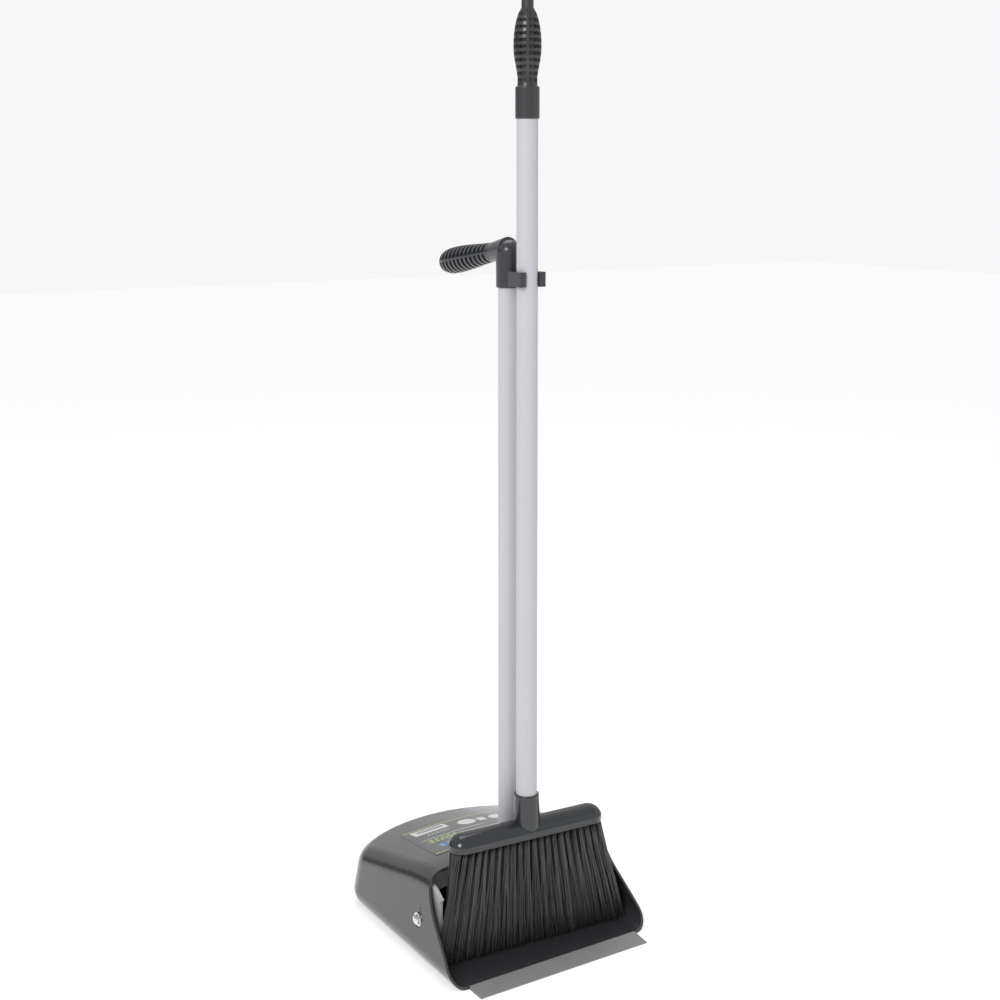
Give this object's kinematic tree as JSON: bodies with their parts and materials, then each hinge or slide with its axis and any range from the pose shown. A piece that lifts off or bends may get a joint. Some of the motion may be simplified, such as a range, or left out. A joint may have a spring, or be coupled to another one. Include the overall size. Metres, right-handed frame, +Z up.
{
  "type": "dust pan and brush set",
  "caption": "long-handled hooded dust pan whose handle pivots on two bolts, with a long-handled brush snapped into a clip on the handle",
  "frame": {"origin": "on the floor, on the pan's mid-plane, straight below the pivot axis of the handle", "axes": "+Z up along the upright handle, +X to the right across the pan, -Y towards the pan's mouth and the brush"},
  "size_m": [0.2408, 0.2939, 0.9955],
  "materials": {
    "pan_plastic": "dark grey moulded polypropylene, glossy outside",
    "lip_rubber": "mid grey soft strip with fine lengthwise lines",
    "label_film": "dark satin printed film with plain line marks",
    "bright_steel": "zinc plated bright steel",
    "yoke_plastic": "mid grey moulded plastic",
    "painted_tube": "pale silver-grey powder coat, satin",
    "core_plastic": "black moulded plastic",
    "grip_plastic": "dark grey satin moulded plastic",
    "block_plastic": "dark grey glossy moulded plastic",
    "bristle": "dark grey flagged polyester filaments"
  },
  "bodies": {
    "pan": {"pan_shell": "pan_plastic", "lip_strip": "lip_rubber", "hood_label": "label_film", "pivot_bolts": "bright_steel", "pivot_washers": "bright_steel", "pivot_nuts": "bright_steel"},
    "handle": {"yoke": "yoke_plastic", "yoke_screw": "bright_steel", "pan_tube": "painted_tube", "tube_core": "core_plastic", "elbow": "grip_plastic", "pan_grip": "grip_plastic", "broom_clip": "grip_plastic", "clip_screw": "bright_steel"},
    "broom": {"broom_tube": "painted_tube", "tube_plug": "core_plastic", "brush_block": "block_plastic", "bristle_fan": "bristle", "grip_collar": "grip_plastic", "broom_grip": "grip_plastic"}
  },
  "joints": [
    {"name": "pan_pivot", "type": "hinge", "parent": "pan", "child": "handle", "pos_m": [0, 0, 0.041], "axis": [1, 0, 0], "range_deg": [0, 30], "deforming": ["bristle_fan"]},
    {"name": "broom_release", "type": "slide", "parent": "handle", "child": "broom", "axis": [0, -1, 0], "range_m": [0, 0.12], "deforming": ["broom_clip"]}
  ]
}
